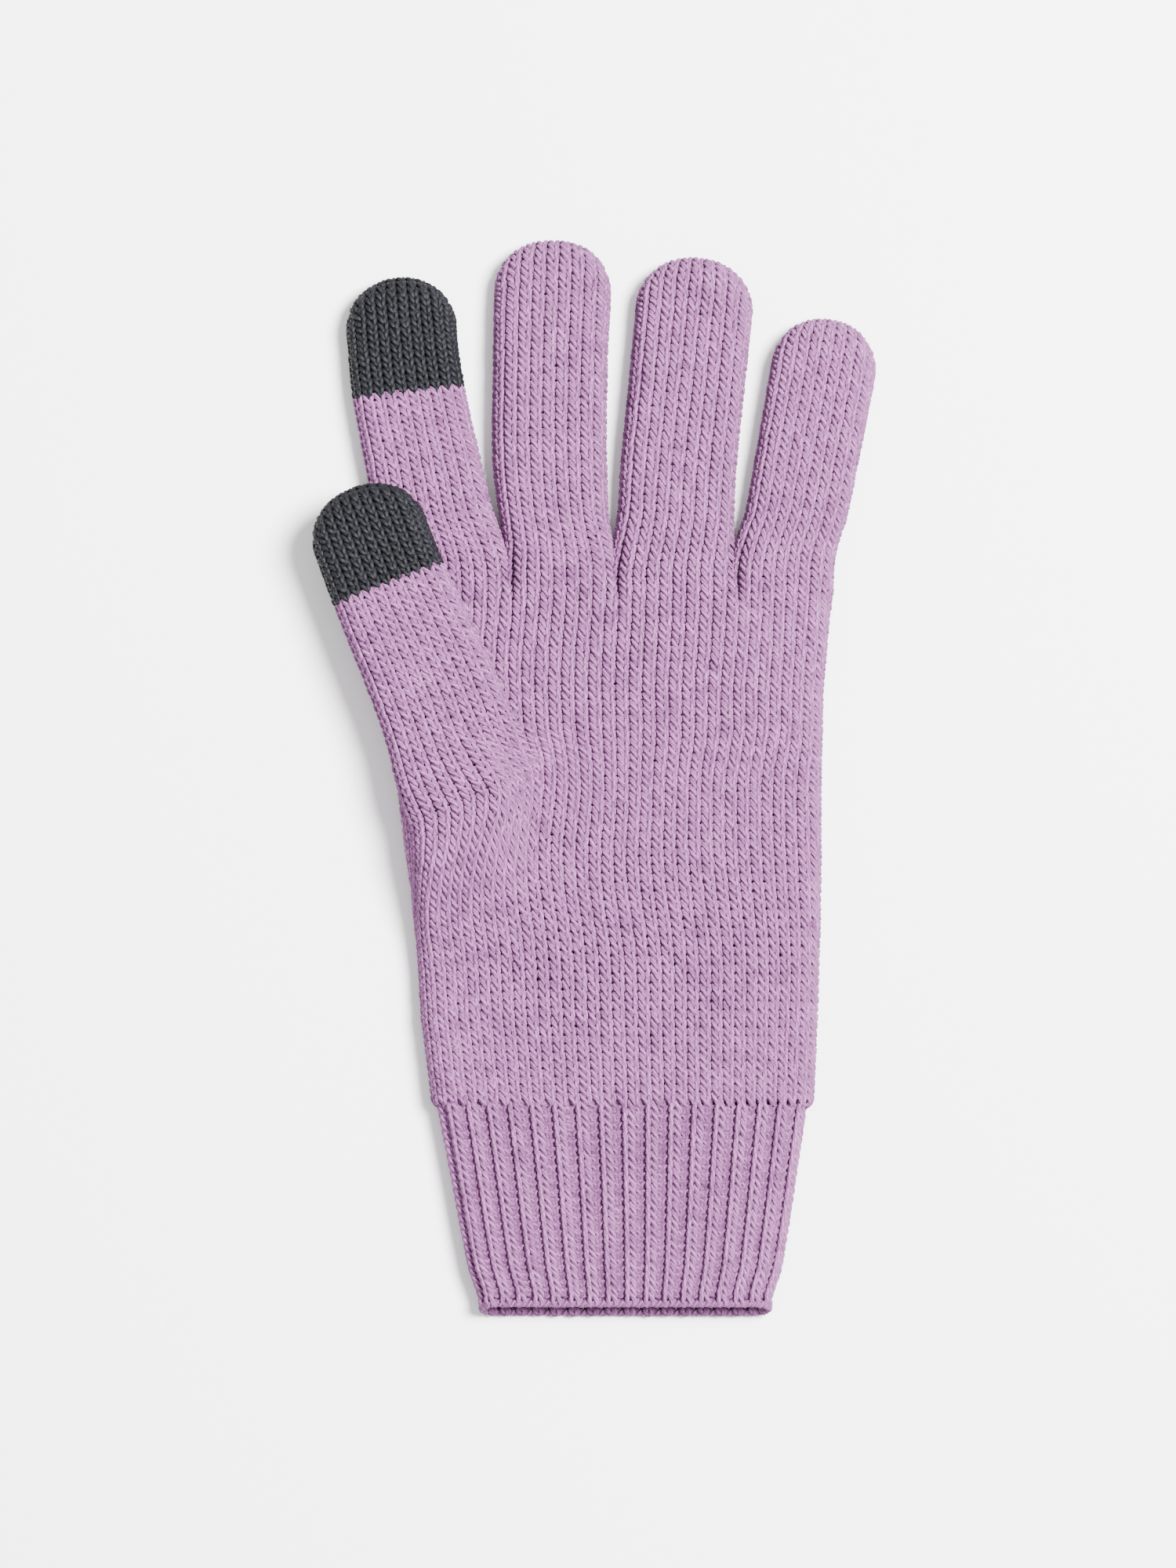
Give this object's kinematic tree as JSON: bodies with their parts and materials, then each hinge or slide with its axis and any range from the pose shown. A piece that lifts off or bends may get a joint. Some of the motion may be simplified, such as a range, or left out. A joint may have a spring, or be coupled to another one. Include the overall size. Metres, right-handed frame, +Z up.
{
  "type": "touchscreen glove",
  "caption": "Knitted five-finger glove for the left hand, ribbed cuff, dark conductive yarn at the index and thumb tips for touchscreens.",
  "frame": {"origin": "centre of the glove's outline, on the table it lies on", "axes": "+X towards the little-finger side, +Y from the cuff to the fingertips, +Z up out of the palm side"},
  "size_m": [0.1311, 0.25, 0.0204],
  "materials": {
    "lilac_yarn": "matte plied cotton yarn",
    "grey_conductive_yarn": "matte plied yarn with conductive fibre",
    "elastic_thread": "clear glossy thread"
  },
  "bodies": {
    "hand": {"cuff_rib": "lilac_yarn", "cuff_edge": "lilac_yarn", "cuff_elastic": "elastic_thread", "palm_lower": "lilac_yarn", "palm_upper": "lilac_yarn", "index_root": "lilac_yarn", "middle_root": "lilac_yarn", "ring_root": "lilac_yarn", "little_root": "lilac_yarn"},
    "index_middle_section": {"index_middle": "lilac_yarn"},
    "index_tip_section": {"index_touch_tip": "grey_conductive_yarn"},
    "middle_middle_section": {"middle_middle": "lilac_yarn"},
    "middle_tip_section": {"middle_tip": "lilac_yarn"},
    "ring_middle_section": {"ring_middle": "lilac_yarn"},
    "ring_tip_section": {"ring_tip": "lilac_yarn"},
    "little_middle_section": {"little_middle": "lilac_yarn"},
    "little_tip_section": {"little_tip": "lilac_yarn"},
    "thumb_section": {"thumb_tube": "lilac_yarn"},
    "thumb_tip_section": {"thumb_touch_tip": "grey_conductive_yarn"}
  },
  "joints": [
    {"name": "index_first_fold", "type": "hinge", "parent": "hand", "child": "index_middle_section", "pos_m": [-0.0397, 0.0714, 0.01], "axis": [0.98, 0.1992, 0], "range_deg": [0, 85]},
    {"name": "index_second_fold", "type": "hinge", "parent": "index_middle_section", "child": "index_tip_section", "pos_m": [-0.0434, 0.0896, 0.01], "axis": [0.9937, 0.1117, 0], "range_deg": [0, 60]},
    {"name": "middle_first_fold", "type": "hinge", "parent": "hand", "child": "middle_middle_section", "pos_m": [-0.0105, 0.072, 0.01], "axis": [1, -0.0038, 0], "range_deg": [0, 85]},
    {"name": "middle_second_fold", "type": "hinge", "parent": "middle_middle_section", "child": "middle_tip_section", "pos_m": [-0.0104, 0.098, 0.01], "axis": [0.9994, -0.0332, 0], "range_deg": [0, 60]},
    {"name": "ring_first_fold", "type": "hinge", "parent": "hand", "child": "ring_middle_section", "pos_m": [0.0193, 0.0714, 0.01], "axis": [0.9951, -0.0991, 0], "range_deg": [0, 85]},
    {"name": "ring_second_fold", "type": "hinge", "parent": "ring_middle_section", "child": "ring_tip_section", "pos_m": [0.0216, 0.0945, 0.01], "axis": [0.9955, -0.0943, 0], "range_deg": [0, 60]},
    {"name": "little_first_fold", "type": "hinge", "parent": "hand", "child": "little_middle_section", "pos_m": [0.0479, 0.0672, 0.01], "axis": [0.9829, -0.1839, 0], "range_deg": [0, 85]},
    {"name": "little_second_fold", "type": "hinge", "parent": "little_middle_section", "child": "little_tip_section", "pos_m": [0.0511, 0.0843, 0.01], "axis": [0.9835, -0.1808, 0], "range_deg": [0, 60]},
    {"name": "thumb_swing", "type": "hinge", "parent": "hand", "child": "thumb_section", "pos_m": [-0.04267, -0.01098, 0.0154], "axis": [0, 0, 1], "range_deg": [0, 40]},
    {"name": "thumb_fold", "type": "hinge", "parent": "thumb_section", "child": "thumb_tip_section", "pos_m": [-0.0477, 0.0447, 0.0204], "axis": [0.933, 0.3598, 0], "range_deg": [0, 70]}
  ]
}
